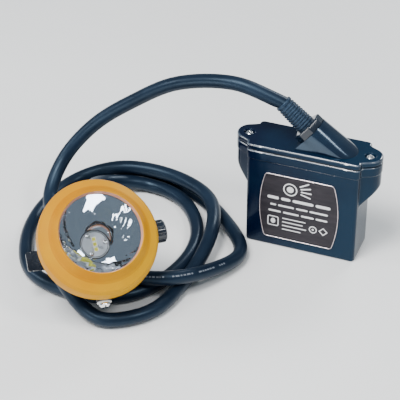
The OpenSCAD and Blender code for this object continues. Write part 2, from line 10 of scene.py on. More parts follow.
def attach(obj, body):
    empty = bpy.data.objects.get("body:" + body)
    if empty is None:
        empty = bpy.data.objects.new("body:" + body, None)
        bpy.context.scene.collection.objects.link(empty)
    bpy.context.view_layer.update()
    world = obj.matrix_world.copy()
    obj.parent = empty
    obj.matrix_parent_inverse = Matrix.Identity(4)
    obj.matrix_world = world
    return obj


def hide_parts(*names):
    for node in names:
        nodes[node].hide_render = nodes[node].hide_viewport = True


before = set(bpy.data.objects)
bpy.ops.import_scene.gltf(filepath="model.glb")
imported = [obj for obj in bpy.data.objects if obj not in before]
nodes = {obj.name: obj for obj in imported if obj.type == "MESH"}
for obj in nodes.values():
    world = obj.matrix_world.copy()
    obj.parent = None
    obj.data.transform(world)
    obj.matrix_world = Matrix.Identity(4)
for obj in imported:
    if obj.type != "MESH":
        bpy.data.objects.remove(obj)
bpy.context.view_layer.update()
MM = 0.001
random.seed(7)

# ---------------------------------------------------------------- camera
CAMERA_AT = (0.2393, -0.8111, 0.6161)
CAMERA_TARGET = (-0.072, 0, 0.0123)
cam_data = bpy.data.cameras.new("camera")
cam_data.lens = 146.7
cam_data.sensor_width = 36
cam_data.clip_start = 0.05
cam = bpy.data.objects.new("camera", cam_data)
bpy.context.scene.collection.objects.link(cam)
cam.location = CAMERA_AT
cam.rotation_euler = (Vector(CAMERA_TARGET) - cam.location).to_track_quat("-Z", "Y").to_euler()
bpy.context.scene.camera = cam

# ---------------------------------------------------------------- frames of the two housings
# The outlet's axis rises to the left from the lid. Its nut and strain relief end where the cable starts.
NUT_H = 5.2
RELIEF = 20
OUTLET_END = Vector((-18, 0, 98))
RISE = math.radians(40)
OUTLET_DIR = Vector((-math.cos(RISE), 0, math.sin(RISE)))
OUTLET_MOUTH = OUTLET_END - (NUT_H + RELIEF) * OUTLET_DIR
AT_OUTLET = Matrix.Translation(OUTLET_MOUTH) @ Matrix.Rotation(RISE - math.pi / 2, 4, "Y")
# The headpiece's origin is the middle of its front, and its Z points out of the lens.
HEAD_AT = (-89, -116, 61)
HEAD_TURN, HEAD_TILT = math.radians(40), math.radians(38)
HEAD = Matrix.Translation(HEAD_AT) @ Matrix.Rotation(HEAD_TURN, 4, "Z") @ Matrix.Rotation(HEAD_TILT, 4, "X")
# The headpiece's gland sits on its rear cover, and its Z points along the cable.
GLAND_AT = (8, 22, -45.5)
GLAND_TURN, GLAND_TILT = math.radians(-20), math.radians(-140)
AT_HEAD_GLAND = (HEAD @ Matrix.Translation(GLAND_AT) @ Matrix.Rotation(GLAND_TURN, 4, "Z")
                 @ Matrix.Rotation(GLAND_TILT, 4, "X"))

# Route of the cable's centre line, as in the CAD model, in millimetres
ROUTE = [
    (-18, 0, 98), (-50, 0, 105), (-87, 0, 97), (-118, 0, 77),
    (-143, -5, 57), (-159, -18, 36), (-160, -40, 20), (-144, -63, 15.5),
    (-119, -81, 13), (-92, -90, 11.5), (-60, -88, 14.8), (-39, -61, 8.5),
    (-32, -33, 4.6), (-54, -4, 4.6), (-85, 18, 4.6), (-118, 26, 4.6),
    (-143, 0, 4.6), (-147, -35, 4.6), (-138, -76, 5), (-120, -110, 14),
    (-88, -127, 5.2), (-61, -108, 4.6), (-53, -68, 5), (-52, -32, 13.5),
    (-66, 1, 14.2), (-97, 17, 14.2), (-132, 15, 14.4), (-160, 2, 6.5),
    (-169, -32, 4.6), (-163, -70, 4.6), (-144, -100, 4.6), (-109, -109, 4.6),
    (-78, -97, 4.6), (-62, -63, 4.6), (-64, -26, 4.6), (-85, 5, 4.6),
    (-115, 14, 5.2), (-137, -4, 13.4), (-136, -30, 25)]
RINGS_PER_POINT = 8
CABLE_SIDES = 24
CABLE_CLEAR = 0.1    # gap between the cable and the floor
CABLE_R = 4.5


def catmull(route, n, low):
    """Smooth curve through the route, with n points to each stretch, never lower than low."""
    q = [np.array(p, float) for p in route]
    q = [2 * q[0] - q[1]] + q + [2 * q[-1] - q[-2]]
    out = []
    for i in range(1, len(q) - 2):
        a, b, c, d = q[i - 1:i + 3]
        for k in range(n):
            t = k / n
            p = 0.5 * (2 * b + (c - a) * t + (2 * a - 5 * b + 4 * c - d) * t * t
                       + (3 * b - a - 3 * c + d) * t ** 3)
            out.append((p[0], p[1], max(p[2], low)))
    out.append(tuple(q[-2]))
    return out


# ---------------------------------------------------------------- mesh helpers (millimetres in, metres out)
def link(name, verts, faces, matrix=None, sharp=35):
    """New object from points in millimetres, riding on the lamp."""
    me = bpy.data.meshes.new(name)
    if matrix is not None:
        verts = [matrix @ Vector(v) for v in verts]
    me.from_pydata([tuple(c * MM for c in v) for v in verts], [], faces)
    me.validate()
    me.update()
    ob = bpy.data.objects.new(name, me)
    bpy.context.scene.collection.objects.link(ob)
    shade(ob, sharp)
    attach(ob, "lamp")
    return ob


def shade(ob, sharp=35):
    """Turn the faces outwards and shade smooth, with edges steeper than sharp degrees left sharp."""
    bm = bmesh.new()
    bm.from_mesh(ob.data)
    bmesh.ops.recalc_face_normals(bm, faces=bm.faces)
    limit = math.radians(sharp)
    for f in bm.faces:
        f.smooth = True
    for e in bm.edges:
        e.smooth = len(e.link_faces) == 2 and e.calc_face_angle(0) < limit
    bm.to_mesh(ob.data)
    bm.free()


# A corner whose half angle is over this is left as it is
NEARLY_STRAIGHT = math.radians(86)


def rounded_profile(points, steps):
    """[(r, z, corner radius)] -> [(r, z)] with each corner replaced by an arc."""
    out = []
    n = len(points)
    for i, (r, z, c) in enumerate(points):
        if i in (0, n - 1) or c <= 0:
            out.append((r, z))
            continue
        p = np.array([r, z], float)
        a = np.array(points[i - 1][:2], float) - p
        b = np.array(points[i + 1][:2], float) - p
        la, lb = np.linalg.norm(a), np.linalg.norm(b)
        a, b = a / la, b / lb
        half = math.acos(max(-1, min(1, float(a @ b)))) / 2
        if half > NEARLY_STRAIGHT:
            out.append((r, z))
            continue
        t = min(c / math.tan(half), 0.48 * la, 0.48 * lb)
        c = t * math.tan(half)
        centre = p + (a + b) / np.linalg.norm(a + b) * c / math.sin(half)
        s, e = p + a * t - centre, p + b * t - centre
        ang = math.pi - 2 * half
        for k in range(steps + 1):
            w = k / steps
            v = (math.sin((1 - w) * ang) * s + math.sin(w * ang) * e) / math.sin(ang)
            out.append(tuple(centre + v))
    return out


def lathe(name, profile, matrix=HEAD, seg=160, closed=False, sharp=50, wobble=None):
    """Turned piece about the matrix's Z. closed joins the profile's end to its start."""
    verts, faces = [], []
    n = len(profile)
    for k in range(seg):
        a = 2 * math.pi * k / seg
        for i, (r, z) in enumerate(profile):
            rr = r if wobble is None else r + wobble(a, i, r, z)
            verts.append((rr * math.cos(a), rr * math.sin(a), z))
    for k in range(seg):
        m = (k + 1) % seg
        for i in range(n if closed else n - 1):
            j = (i + 1) % n
            faces.append((k * n + i, m * n + i, m * n + j, k * n + j))
    ob = link(name, verts, faces, matrix, sharp)
    bm = bmesh.new()
    bm.from_mesh(ob.data)
    bmesh.ops.remove_doubles(bm, verts=bm.verts, dist=1e-7)
    bmesh.ops.dissolve_degenerate(bm, edges=bm.edges, dist=1e-7)
    bm.to_mesh(ob.data)
    bm.free()
    shade(ob, sharp)
    return ob


def loft(name, rings, matrix=None, sharp=40, cap=(True, True)):
    """Rings of equal length, each a list of points, joined in order."""
    n = len(rings[0])
    verts = [p for ring in rings for p in ring]
    faces = []
    for i in range(len(rings) - 1):
        for k in range(n):
            m = (k + 1) % n
            faces.append((i * n + k, i * n + m, (i + 1) * n + m, (i + 1) * n + k))
    if cap[0]:
        faces.append(tuple(reversed(range(n))))
    if cap[1]:
        last = (len(rings) - 1) * n
        faces.append(tuple(range(last, last + n)))
    return link(name, verts, faces, matrix, sharp)


def boolean(ob, cutter, op="DIFFERENCE"):
    """Cut the cutter out of a piece, or join it on, and remove the cutter."""
    mod = ob.modifiers.new("cut", "BOOLEAN")
    mod.operation = op
    mod.solver = "EXACT"
    mod.object = cutter
    apply(ob)
    bpy.data.objects.remove(cutter)


def apply(ob):
    """Make the result of a piece's modifiers its mesh."""
    bpy.context.view_layer.update()
    dg = bpy.context.evaluated_depsgraph_get()
    me = bpy.data.meshes.new_from_object(ob.evaluated_get(dg))
    ob.modifiers.clear()
    ob.data = me


# ---------------------------------------------------------------- materials
SHADE_LEAN = 0.22          # how far a material with across leans towards either of its colours along X, as painted light and shade
BUMP_DEPTH = 0.0002  # metres


def material(name, colour, rough, metal=0.0, coat=0.0, coat_rough=0.05, spec=0.5, vary=0.12, scale=60,
             rough_vary=0.06, bump=0.05, bump_scale=900, tint=None, stretch=None, round_edges=0.0,
             transmission=0.0, ior=1.5, across=None, gloss_tint=(1, 1, 1)):
    """Principled material with noise in its colour, roughness and bump, in object coordinates (metres).

    The colour wanders between colour and tint. With across=(x0, x1), it also leans from the one to the other
    along X, as painted light and shade. round_edges is a radius in millimetres."""
    mat = bpy.data.materials.new(name)
    mat.use_nodes = True
    nt = mat.node_tree
    nd, ln = nt.nodes, nt.links
    b = nd["Principled BSDF"]
    b.inputs["Metallic"].default_value = metal
    b.inputs["Specular IOR Level"].default_value = spec
    b.inputs["Specular Tint"].default_value = (*gloss_tint, 1)
    b.inputs["Coat Weight"].default_value = coat
    b.inputs["Coat Roughness"].default_value = coat_rough
    b.inputs["Transmission Weight"].default_value = transmission
    b.inputs["IOR"].default_value = ior
    co = nd.new("ShaderNodeTexCoord")
    mp = nd.new("ShaderNodeMapping")
    ln.new(co.outputs["Object"], mp.inputs["Vector"])
    if stretch:
        mp.inputs["Scale"].default_value = stretch
    big = nd.new("ShaderNodeTexNoise")
    big.inputs["Scale"].default_value = scale
    big.inputs["Detail"].default_value = 5
    ln.new(mp.outputs["Vector"], big.inputs["Vector"])
    ramp = nd.new("ShaderNodeValToRGB")
    other = tint or tuple(min(1, c * (1 + 2.2 * vary)) for c in colour)
    ramp.color_ramp.elements[0].position = 0.32
    ramp.color_ramp.elements[0].color = (*[c * (1 - vary) for c in colour], 1)
    ramp.color_ramp.elements[1].position = 0.7
    ramp.color_ramp.elements[1].color = (*other, 1)
    # painted light and shade: the colour leans from colour at x0 towards tint at x1
    if across:
        split = nd.new("ShaderNodeSeparateXYZ")
        ln.new(co.outputs["Object"], split.inputs[0])
        slide = nd.new("ShaderNodeMapRange")
        slide.inputs["From Min"].default_value, slide.inputs["From Max"].default_value = across
        slide.inputs["To Min"].default_value = -SHADE_LEAN
        slide.inputs["To Max"].default_value = SHADE_LEAN
        ln.new(split.outputs["X"], slide.inputs["Value"])
        add = nd.new("ShaderNodeMath")
        ln.new(big.outputs["Fac"], add.inputs[0])
        ln.new(slide.outputs["Result"], add.inputs[1])
        ln.new(add.outputs[0], ramp.inputs["Fac"])
    else:
        ln.new(big.outputs["Fac"], ramp.inputs["Fac"])
    fine = nd.new("ShaderNodeTexNoise")
    fine.inputs["Scale"].default_value = bump_scale
    fine.inputs["Detail"].default_value = 3
    ln.new(mp.outputs["Vector"], fine.inputs["Vector"])
    ln.new(ramp.outputs["Color"], b.inputs["Base Color"])
    mr = nd.new("ShaderNodeMapRange")
    mr.inputs["To Min"].default_value = max(0.02, rough - rough_vary)
    mr.inputs["To Max"].default_value = min(1, rough + rough_vary)
    mr.inputs["From Min"].default_value = 0.3
    mr.inputs["From Max"].default_value = 0.7
    ln.new(big.outputs["Fac"], mr.inputs["Value"])
    ln.new(mr.outputs["Result"], b.inputs["Roughness"])
    normal = None
    if round_edges > 0:
        bev = nd.new("ShaderNodeBevel")
        bev.samples = 6
        bev.inputs["Radius"].default_value = round_edges * MM
        normal = bev.outputs["Normal"]
    if bump > 0:
        bp = nd.new("ShaderNodeBump")
        bp.inputs["Strength"].default_value = bump
        bp.inputs["Distance"].default_value = BUMP_DEPTH
        ln.new(fine.outputs["Fac"], bp.inputs["Height"])
        if normal:
            ln.new(normal, bp.inputs["Normal"])
        normal = bp.outputs["Normal"]
    if normal:
        ln.new(normal, b.inputs["Normal"])
    return mat


def paint(ob, mat):
    """Give a piece its material."""
    ob.data.materials.clear()
    ob.data.materials.append(mat)


# tint of the reflections in the dark blue plastic and rubber
BLUE_GLOSS = (0.55, 0.78, 1.0)
# the case leans lighter and more teal towards +X: painted light, on top of its random tone
M_CASE = material("case", (0.0018, 0.0056, 0.023), 0.13, spec=0.27, vary=0.2, scale=28,
                  gloss_tint=BLUE_GLOSS, tint=(0.0026, 0.0148, 0.034), bump=0.03, bump_scale=1400,
                  round_edges=0.3, across=(-0.036, 0.036))
M_OUTLET = material("outlet", (0.0026, 0.0062, 0.021), 0.17, spec=0.95, coat=0.25, coat_rough=0.10,
                    vary=0.2, scale=60, gloss_tint=BLUE_GLOSS, tint=(0.0042, 0.0135, 0.030), bump=0.02,
                    bump_scale=1400)
# lighter, glossier material for the rounded upper edges of the case and lid: the lighter colour is a painted
# highlight, the gloss strengthens the real one
M_EDGE_HIGHLIGHT = material("case_edge_highlight", (0.030, 0.045, 0.072), 0.12, spec=0.9, coat=1.0, coat_rough=0.06, vary=0.3,
                  scale=160, tint=(0.060, 0.085, 0.120), bump=0.04, bump_scale=1400)
M_HEAD = material("head_black", (0.0035, 0.0065, 0.013), 0.26, spec=0.35, vary=0.2, scale=50, bump=0.06,
                  tint=(0.006, 0.012, 0.022))
M_NUT = material("nut", (0.006, 0.011, 0.020), 0.14, coat=0.5, vary=0.2, scale=90, bump=0.03,
                 round_edges=0.35)
# the bezel leans from deep orange at the left to yellow at the right: painted shade and light
M_BEZEL = material("bezel", (0.54, 0.225, 0.0), 0.42, spec=0.07, vary=0.03, scale=28,
                   tint=(0.60, 0.300, 0.0), bump=0.03, bump_scale=1600, across=(-0.122, -0.060))
# darker orange for the bezel's inner cone: painted shade
M_CONE_SHADE = material("bezel_cone_shade", (0.47, 0.175, 0.0), 0.42, spec=0.07, vary=0.03, scale=28,
                  tint=(0.56, 0.260, 0.0), bump=0.03, bump_scale=1600, across=(-0.122, -0.060))
M_LIP = material("bezel_lip", (0.55, 0.25, 0.15), 0.25, spec=0.3, vary=0.06, scale=60,
                 tint=(0.60, 0.30, 0.22), bump=0.02, bump_scale=1200)
M_CABLE = material("cable", (0.0050, 0.0110, 0.024), 0.36, spec=0.34, gloss_tint=BLUE_GLOSS, vary=0.22,
                   scale=40, bump=0.10, bump_scale=1500, tint=(0.0080, 0.0170, 0.034))
M_SLEEVE = material("sleeve", (0.011, 0.021, 0.042), 0.38, spec=0.45, gloss_tint=BLUE_GLOSS, vary=0.2,
                    scale=60, bump=0.12, bump_scale=1600, tint=(0.016, 0.030, 0.055))
M_RUBBER = material("black_rubber", (0.012, 0.012, 0.013), 0.6, vary=0.3, scale=80, bump=0.2)
M_SCREW = material("screw", (0.82, 0.82, 0.82), 0.16, metal=1.0, vary=0.08, scale=200, bump=0.05,
                   round_edges=0.12)
M_STEEL = material("steel", (0.55, 0.55, 0.56), 0.28, metal=1.0, vary=0.15, scale=160, bump=0.1,
                   stretch=(1, 1, 8))
M_CHROME = material("chrome", (0.9, 0.9, 0.9), 0.08, metal=1.0, vary=0.05, scale=90, bump=0.02,
                    round_edges=0.15)
M_BRASS = material("brass", (0.72, 0.47, 0.16), 0.3, metal=1.0, vary=0.2, scale=120, bump=0.1)
M_PLATE = material("plate_face", (0.022, 0.020, 0.026), 0.36, metal=0.2, spec=0.25, vary=0.15, scale=70,
                   bump=0.06, tint=(0.034, 0.029, 0.036), stretch=(1, 1, 5))
M_RIM = material("plate_rim", (0.66, 0.58, 0.60), 0.22, metal=1.0, vary=0.08, scale=90, bump=0.02)
M_PRINT = material("print", (0.80, 0.79, 0.80), 0.4, vary=0.05, scale=300, bump=0.05)
M_DASH = material("cable_print", (0.13, 0.15, 0.18), 0.5, vary=0.2, scale=700, bump=0.05)
M_CELL = material("cell_wrap", (0.02, 0.16, 0.11), 0.3, vary=0.1, scale=60, bump=0.03)
M_WHITE = material("white_plastic", (0.72, 0.72, 0.70), 0.5, vary=0.06, scale=80, bump=0.08)
M_BOARD = material("board_green", (0.008, 0.09, 0.03), 0.35, coat=0.3, vary=0.3, scale=500, bump=0.1)
M_WIRE = material("wire_red", (0.35, 0.01, 0.01), 0.45, vary=0.1, scale=120, bump=0.05)
M_LED_BOARD = material("led_board", (0.40, 0.43, 0.47), 0.32, metal=0.5, vary=0.08, scale=160, bump=0.05)
M_LED = material("led_phosphor", (0.80, 0.74, 0.06), 0.35, vary=0.12, scale=900, bump=0.05)
M_SINK = material("sink", (0.55, 0.56, 0.58), 0.35, metal=1.0, vary=0.12, scale=100, bump=0.1)
M_SWITCH = material("switch_brown", (0.06, 0.025, 0.01), 0.45, vary=0.2, scale=200, bump=0.1)
M_MIRROR = material("mirror", (0.70, 0.74, 0.79), 0.03, metal=1.0, vary=0.02, scale=40, rough_vary=0.01,
                    bump=0.012, bump_scale=260)
M_LENS = material("lens", (0.97, 0.98, 1.0), 0.02, spec=0.5, vary=0.01, scale=30, rough_vary=0.01,
                  bump=0.004, transmission=1.0, ior=1.46)

CAD_PAINT = {
    "battery_case": M_CASE, "battery_lid": M_CASE, "lid_gasket": M_RUBBER, "lid_screws": M_SCREW,
    "thread_inserts": M_BRASS, "belt_loop": M_CASE, "belt_loop_screws": M_SCREW, "name_plate": M_PLATE,
    "plate_border": M_RIM, "cells": M_CELL, "cell_holders": M_WHITE, "nickel_strips": M_STEEL,
    "protection_board": M_BOARD, "lead_wires": M_WIRE, "gland_seal": M_RUBBER, "gland_nut": M_NUT,
    "strain_relief": M_SLEEVE, "cable_tail": M_CABLE, "cable": M_CABLE, "head_cable_tail": M_CABLE,
    "head_strain_relief": M_SLEEVE, "head_gland_nut": M_NUT, "head_gland_seal": M_RUBBER,
    "rear_cover": M_HEAD, "rear_cover_screws": M_SCREW, "rear_gasket": M_RUBBER, "head_shell": M_HEAD,
    "bezel_ring": M_BEZEL, "lens": M_LENS, "lens_gasket": M_RUBBER, "reflector": M_MIRROR,
    "led_board": M_LED_BOARD, "leds": M_LED, "led_board_screws": M_SCREW, "heat_sink": M_SINK,
    "board_standoffs": M_BRASS, "driver_board": M_BOARD, "switch_contacts": M_SWITCH,
    "shaft_seal": M_RUBBER, "switch_shaft": M_STEEL, "switch_knob": M_NUT, "knob_screw": M_SCREW,
    "contact_bush": M_WHITE, "charge_contact": M_CHROME, "cap_hook": M_HEAD, "hook_screws": M_SCREW}
for name, mat in CAD_PAINT.items():
    paint(nodes[name], mat)
# small rounded edges, in millimetres, on the CAD nodes that show, after welding their triangles together
for name, width in (("switch_knob", 0.3), ("cap_hook", 0.45), ("charge_contact", 0.3), ("head_shell", 0.35),
                    ("rear_cover", 0.4), ("belt_loop", 0.5), ("lid_screws", 0.2), ("rear_cover_screws", 0.2),
                    ("belt_loop_screws", 0.2), ("contact_bush", 0.2), ("knob_screw", 0.2)):
    weld = nodes[name].modifiers.new("weld", "WELD")
    weld.merge_threshold = 2e-6
    bevel = nodes[name].modifiers.new("bevel", "BEVEL")
    bevel.width = width * MM
    bevel.segments = 3
    bevel.limit_method = "ANGLE"
    bevel.angle_limit = math.radians(38)
    bevel.use_clamp_overlap = True
    bevel.harden_normals = True

# ---------------------------------------------------------------- cable
cable_end = AT_HEAD_GLAND @ Vector((0, 0, NUT_H + RELIEF))
path = catmull(ROUTE + [tuple(cable_end)], RINGS_PER_POINT, CABLE_R + CABLE_CLEAR)
points = [Vector(p) for p in path]
gland_out = (AT_HEAD_GLAND.to_3x3() @ Vector((0, 0, 1))).normalized()
tangents = [OUTLET_DIR.normalized()]
for a, b in zip(points, points[2:]):
    tangents.append((b - a).normalized())
tangents.append(-gland_out)
side = tangents[0].cross(Vector((0, 1, 0))).normalized()
turns = [2 * math.pi * k / CABLE_SIDES for k in range(CABLE_SIDES)]
rings = []
for p, t in zip(points, tangents):
    side = (side - side.dot(t) * t).normalized()
    up = t.cross(side)
    rings.append([tuple(p + CABLE_R * (math.cos(a) * side + math.sin(a) * up)) for a in turns])
cable = loft("cable_jacket", rings)
paint(cable, M_CABLE)
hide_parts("cable")

PRINT_FROM = 77                      # ring where the row of dashes starts
PRINT_DASHES = 20
PRINT_FACES = (0.25, -0.80, 0.90)    # way that the dashes face
DASH_LENGTHS = (1.1, 1.6, 2.2)
DASH_GAP, GROUP_GAP, GROUP = 0.7, 3.5, 6
DASH_HALF = 0.5
DASH_DEPTHS = (-0.05, 0.04)          # from under the cable's surface to just above it


def cable_print(first, count, facing):
    """Row of plain pale dashes along the cable, in place of its printing, from its ring number first on."""
    verts, faces = [], []
    reach = [0.0]
    for a, b in zip(points, points[1:]):
        reach.append(reach[-1] + (b - a).length)

    def on_cable(s, v, lift):
        """Point s along the cable and v round it."""
        i = max(k for k in range(len(reach)) if reach[k] <= s)
        w = (s - reach[i]) / (reach[i + 1] - reach[i])
        p = points[i].lerp(points[i + 1], w)
        t = tangents[i].lerp(tangents[i + 1], w)
        out = Vector(facing)
        out = (out - out.dot(t) * t).normalized()
        angle = v / CABLE_R
        return p + (CABLE_R + lift) * (math.cos(angle) * out + math.sin(angle) * t.cross(out))

    s = reach[first]
    for k in range(count):
        dash = random.choice(DASH_LENGTHS)
        if k % GROUP == GROUP - 1:
            s += GROUP_GAP
        n = len(verts)
        for lift in DASH_DEPTHS:
            for along, v in ((0, -DASH_HALF), (dash, -DASH_HALF), (dash, DASH_HALF), (0, DASH_HALF)):
                verts.append(tuple(on_cable(s + along, v, lift)))
        faces += [(n, n + 3, n + 2, n + 1), (n + 4, n + 5, n + 6, n + 7)]
        faces += [(n + j, n + (j + 1) % 4, n + 4 + (j + 1) % 4, n + 4 + j) for j in range(4)]
        s += dash + DASH_GAP
    ob = link("cable_print", verts, faces, sharp=30)
    paint(ob, M_DASH)
    return ob


dashes = cable_print(PRINT_FROM, PRINT_DASHES, PRINT_FACES)

# ---------------------------------------------------------------- battery box
BOX_X, BOX_Y = 36.0, 14.25     # half the case's width and depth
MID_Y = 1.0                    # the middle of the case lies behind the line of the lid screws
CORNER = 2.4
LUG_X, LUG_R = 38.0, 8.4       # middle and radius of the lugs' round ends
LUG_ROOT = (BOX_X - 3, BOX_Y - 2.5)    # where the lugs' flanks meet the case
LUG_START = BOX_X - 8          # the flanks' wedges start inside the case
LUG_LOW = 39.5                 # where the lugs run out into the case
TAPER = (11.4, 13.0)           # run and rise of the lugs' underside
LUG_BLEND, UNDERSIDE_BLEND = 1.0, 1.6
RIM = 0.4                      # how far the rim and the lid stand proud of the case
CASE_LOW, CASE_TOP = 0.02, 68.28
LID_LOW, LID_TOP = 69.12, 72.5
SCREW_X = 39
RECESS_R, RECESS_LOW = 3.5, 70.2    # the lid screws' recesses


def smooth_min(a, b, k):
    """Smaller of two fields, blended over k."""
    h = np.clip(0.5 + 0.5 * (b - a) / k, 0, 1)
    return b * (1 - h) + a * h - k * h * (1 - h)


def box_sdf(x, y, grow):
    """Distance from the case's rounded rectangle, grown by grow."""
    qx = np.abs(x) - (BOX_X - CORNER)
    qy = np.abs(y) - (BOX_Y - CORNER)
    outside = np.hypot(np.maximum(qx, 0), np.maximum(qy, 0))
    return outside + np.minimum(np.maximum(qx, qy), 0) - CORNER - grow


def lug_sdf(x, y, grow):
    """Disc about the lid screw with straight flanks running to the box's corners."""
    ax, ay = np.abs(x), np.abs(y)
    disc = np.hypot(ax - LUG_X, ay) - LUG_R
    root = np.array(LUG_ROOT)
    c = np.array([LUG_X, 0.0])
    v = root - c
    ang = math.atan2(v[1], v[0]) - math.acos(LUG_R / np.linalg.norm(v))
    n = np.array([math.cos(ang), math.sin(ang)])
    flank = (ax - LUG_X) * n[0] + ay * n[1] - LUG_R
    touch = c + LUG_R * n
    wedge = np.maximum(np.maximum(flank, ax - touch[0]), LUG_START - ax)
    return np.minimum(disc, wedge) - grow


def case_field(x, y, z, grow):
    """Field of the case with its lugs at height z. It is negative inside."""
    box = box_sdf(x, y, grow)
    clip = ((np.abs(x) - BOX_X) * TAPER[1] - (z - LUG_LOW) * TAPER[0]) / math.hypot(*TAPER)
    lug = -smooth_min(-lug_sdf(x, y, grow), -clip, UNDERSIDE_BLEND)
    return smooth_min(box, lug, LUG_BLEND)


def corner_arc(x, y, start):
    """Points inside a quarter turn of the case's corner, from start degrees on."""
    return [(x + CORNER * math.cos(a), y + CORNER * math.sin(a))
            for a in np.radians(np.linspace(start, start + 90, 10)[1:-1])]


def outline_angles():
    """Directions of the outline's points, which are closest together round the corners and lugs."""
    flat_x, flat_y = BOX_X - CORNER, BOX_Y - CORNER
    half = [(x, -BOX_Y) for x in np.linspace(-flat_x, flat_x, 30)]
    half += corner_arc(flat_x, -flat_y, -90)
    half += [(BOX_X, y) for y in np.linspace(-flat_y, flat_y, 56)]
    half += corner_arc(flat_x, flat_y, 0)
    return np.array([math.atan2(y, x) for x, y in half + [(-x, -y) for x, y in half]])


ANGLES = outline_angles()


def ring_at(z, grow):
    """Outline of the case at height z, found by halving along each direction."""
    c, s = np.cos(ANGLES), np.sin(ANGLES)
    lo, hi = np.full(len(ANGLES), 5.0), np.full(len(ANGLES), 60.0)
    for _ in range(34):
        mid = (lo + hi) / 2
        inside = case_field(mid * c, mid * s, z, grow) < 0
        lo, hi = np.where(inside, mid, lo), np.where(inside, hi, mid)
    return [(float(r * a), float(r * b + MID_Y), float(z)) for r, a, b in zip(lo, c, s)]


def edge_down(z, grow, radius, steps=5):
    """Rings of a rounded upper edge at height z."""
    out = []
    for k in range(steps + 1):
        a = math.pi / 2 * k / steps
        out.append((z - radius + radius * math.sin(a), grow - radius + radius * math.cos(a)))
    return out


def edge_up(z, grow, radius, steps=5):
    """Rings of a rounded lower edge at height z."""
    return [(2 * z - h, g) for h, g in reversed(edge_down(z, grow, radius, steps))]


# heights and growths of the case's rings: foot, wall, faint step, rim
levels = edge_up(CASE_LOW, 0, 1.1) + [(z, 0) for z in (4, 12, 20, 28, 34, 37)]
levels += [(z, 0) for z in np.arange(38, 56, 0.9)] + [(59, 0), (61.3, 0)]
levels += [(61.7, 0.02), (61.95, 0.12), (62.1, 0.28), (62.3, 0.37), (62.7, RIM), (65, RIM)]
levels += edge_down(CASE_TOP, RIM, 0.95, 7)
case_rings = [ring_at(z, g) for z, g in [(CASE_LOW, -1.6)] + levels + [(CASE_TOP, -1.0)]]
case_body = loft("case_body", case_rings, sharp=32)
paint(case_body, M_CASE)
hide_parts("battery_case")

levels = edge_up(LID_LOW, RIM, 0.35, 3) + edge_down(LID_TOP, RIM, 1.15, 8)
lid_rings = [ring_at(z, g) for z, g in [(LID_LOW, -1.0)] + levels + [(LID_TOP, -1.2), (LID_TOP, -2.2)]]
lid = loft("lid_plate", lid_rings, sharp=32)
paint(lid, M_CASE)


def paint_edge_highlight(ob, z_low):
    """Give the rounded upper edge of a piece, above z_low, a lighter and glossier material: its lighter
    colour is a painted highlight.
    """
    ob.data.materials.append(M_EDGE_HIGHLIGHT)
    for f in ob.data.polygons:
        if f.center.z > z_low * MM and 0.12 < f.normal.z < 0.985:
            f.material_index = 1


# painted highlight along the case's rounded top edge
paint_edge_highlight(case_body, CASE_TOP - 1.08)


def disc_cutter(x, y, z0, z1, r):
    """Round bar from z0 to z1, for a hole."""
    bm = bmesh.new()
    bmesh.ops.create_cone(bm, cap_ends=True, segments=64, radius1=r * MM, radius2=r * MM,
                          depth=(z1 - z0) * MM)
    bmesh.ops.translate(bm, verts=bm.verts, vec=(x * MM, y * MM, (z0 + z1) / 2 * MM))
    me = bpy.data.meshes.new("cutter")
    bm.to_mesh(me)
    bm.free()
    ob = bpy.data.objects.new("cutter", me)
    bpy.context.scene.collection.objects.link(ob)
    return ob


for sx in (-SCREW_X, SCREW_X):
    boolean(lid, disc_cutter(sx, 0, RECESS_LOW, LID_TOP + 3.5, RECESS_R))
shade(lid, 32)
# painted highlight along the lid's rounded top edge
paint_edge_highlight(lid, LID_TOP - 1.3)
RECESS_RIM = rounded_profile([(3.3, 70.3, 0), (3.3, 72.45, 0), (3.45, 72.62, 0.12), (3.95, 72.6, 0.1),
                              (4.15, 72.44, 0)], 3)
for tag, sx in (("L", -SCREW_X), ("R", SCREW_X)):
    rim = lathe("lid_recess_rim." + tag, RECESS_RIM, matrix=Matrix.Translation((sx, 0, 0)), seg=64)
    paint(rim, M_CASE)

# cable outlet: slanting barrel with a wedge under its mouth. Remeshing and smoothing blend the two, and the
# result is cut to length after that.
BARREL_R = 10.05               # smoothing draws it in a little
FOOT_X, FOOT_R = 22, 10.1      # the barrel dies into the lid round this disc
WEDGE_R = 8.7                  # radius of the wedge at the mouth
WEDGE_BASE = ((-16, -10.5), (20.5, -9.8), (20.5, 9.8), (-16, 10.5))
OUTLET_ROOT, OUTLET_CUT = 64, 70.6    # it is built down to the first height and cut off at the second
MOUTH_LIFT, MOUTH_OVER = 0.4, 7       # how far the wedge and the barrel are built out past the mouth
VOXEL = 0.3
BLEND_STEPS = 300
ROUND_TURN = [k * math.pi / 48 for k in range(96)]


def hull_piece(name, corners):
    """Convex hull of points in millimetres, as an object."""
    bm = bmesh.new()
    for p in corners:
        bm.verts.new(tuple(c * MM for c in p))
    bmesh.ops.convex_hull(bm, input=bm.verts)
    loose = [v for v in bm.verts if not v.link_faces]
    bmesh.ops.delete(bm, geom=loose, context="VERTS")
    me = bpy.data.meshes.new(name)
    bm.to_mesh(me)
    bm.free()
    ob = bpy.data.objects.new(name, me)
    bpy.context.scene.collection.objects.link(ob)
    return ob


def mouth_ring(r, along):
    """Circle about the outlet's axis, along millimetres out of its mouth."""
    return [tuple(AT_OUTLET @ Vector((r * math.cos(a), r * math.sin(a), along))) for a in ROUND_TURN]


def standing(outline):
    """The outline's points at the lid's top and well inside the lid."""
    return [(x, y, z) for x, y in outline for z in (LID_TOP, OUTLET_ROOT)]


